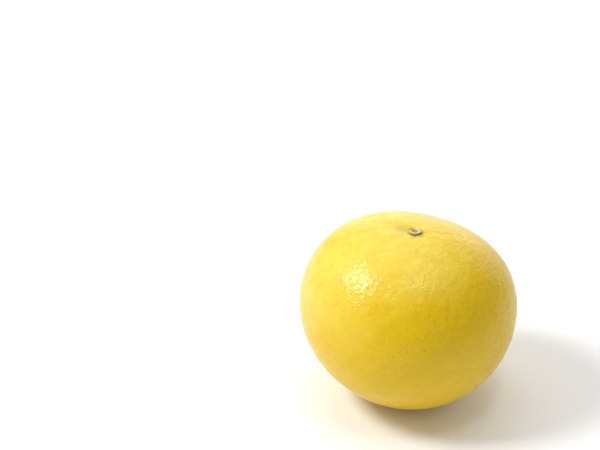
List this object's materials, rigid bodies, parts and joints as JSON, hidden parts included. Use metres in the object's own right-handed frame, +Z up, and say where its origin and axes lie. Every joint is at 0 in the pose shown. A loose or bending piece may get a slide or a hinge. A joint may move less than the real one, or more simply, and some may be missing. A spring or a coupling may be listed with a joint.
{
  "type": "grapefruit",
  "caption": "Whole yellow grapefruit resting on its blossom end, with a dimpled waxy rind and its dried stem button on top.",
  "frame": {"origin": "on the resting surface, under the middle of the fruit's bounding box", "axes": "+Z up, away from the resting surface; the stem end points up and leans 2.2 degrees towards +X"},
  "size_m": [0.1102, 0.107, 0.0951],
  "materials": {
    "citrus_rind": "satin",
    "dried_calyx": "matte",
    "stem_wood": "matte"
  },
  "bodies": {
    "root": {"fruit": "citrus_rind", "calyx": "dried_calyx", "stem_stub": "stem_wood"}
  },
  "joints": []
}
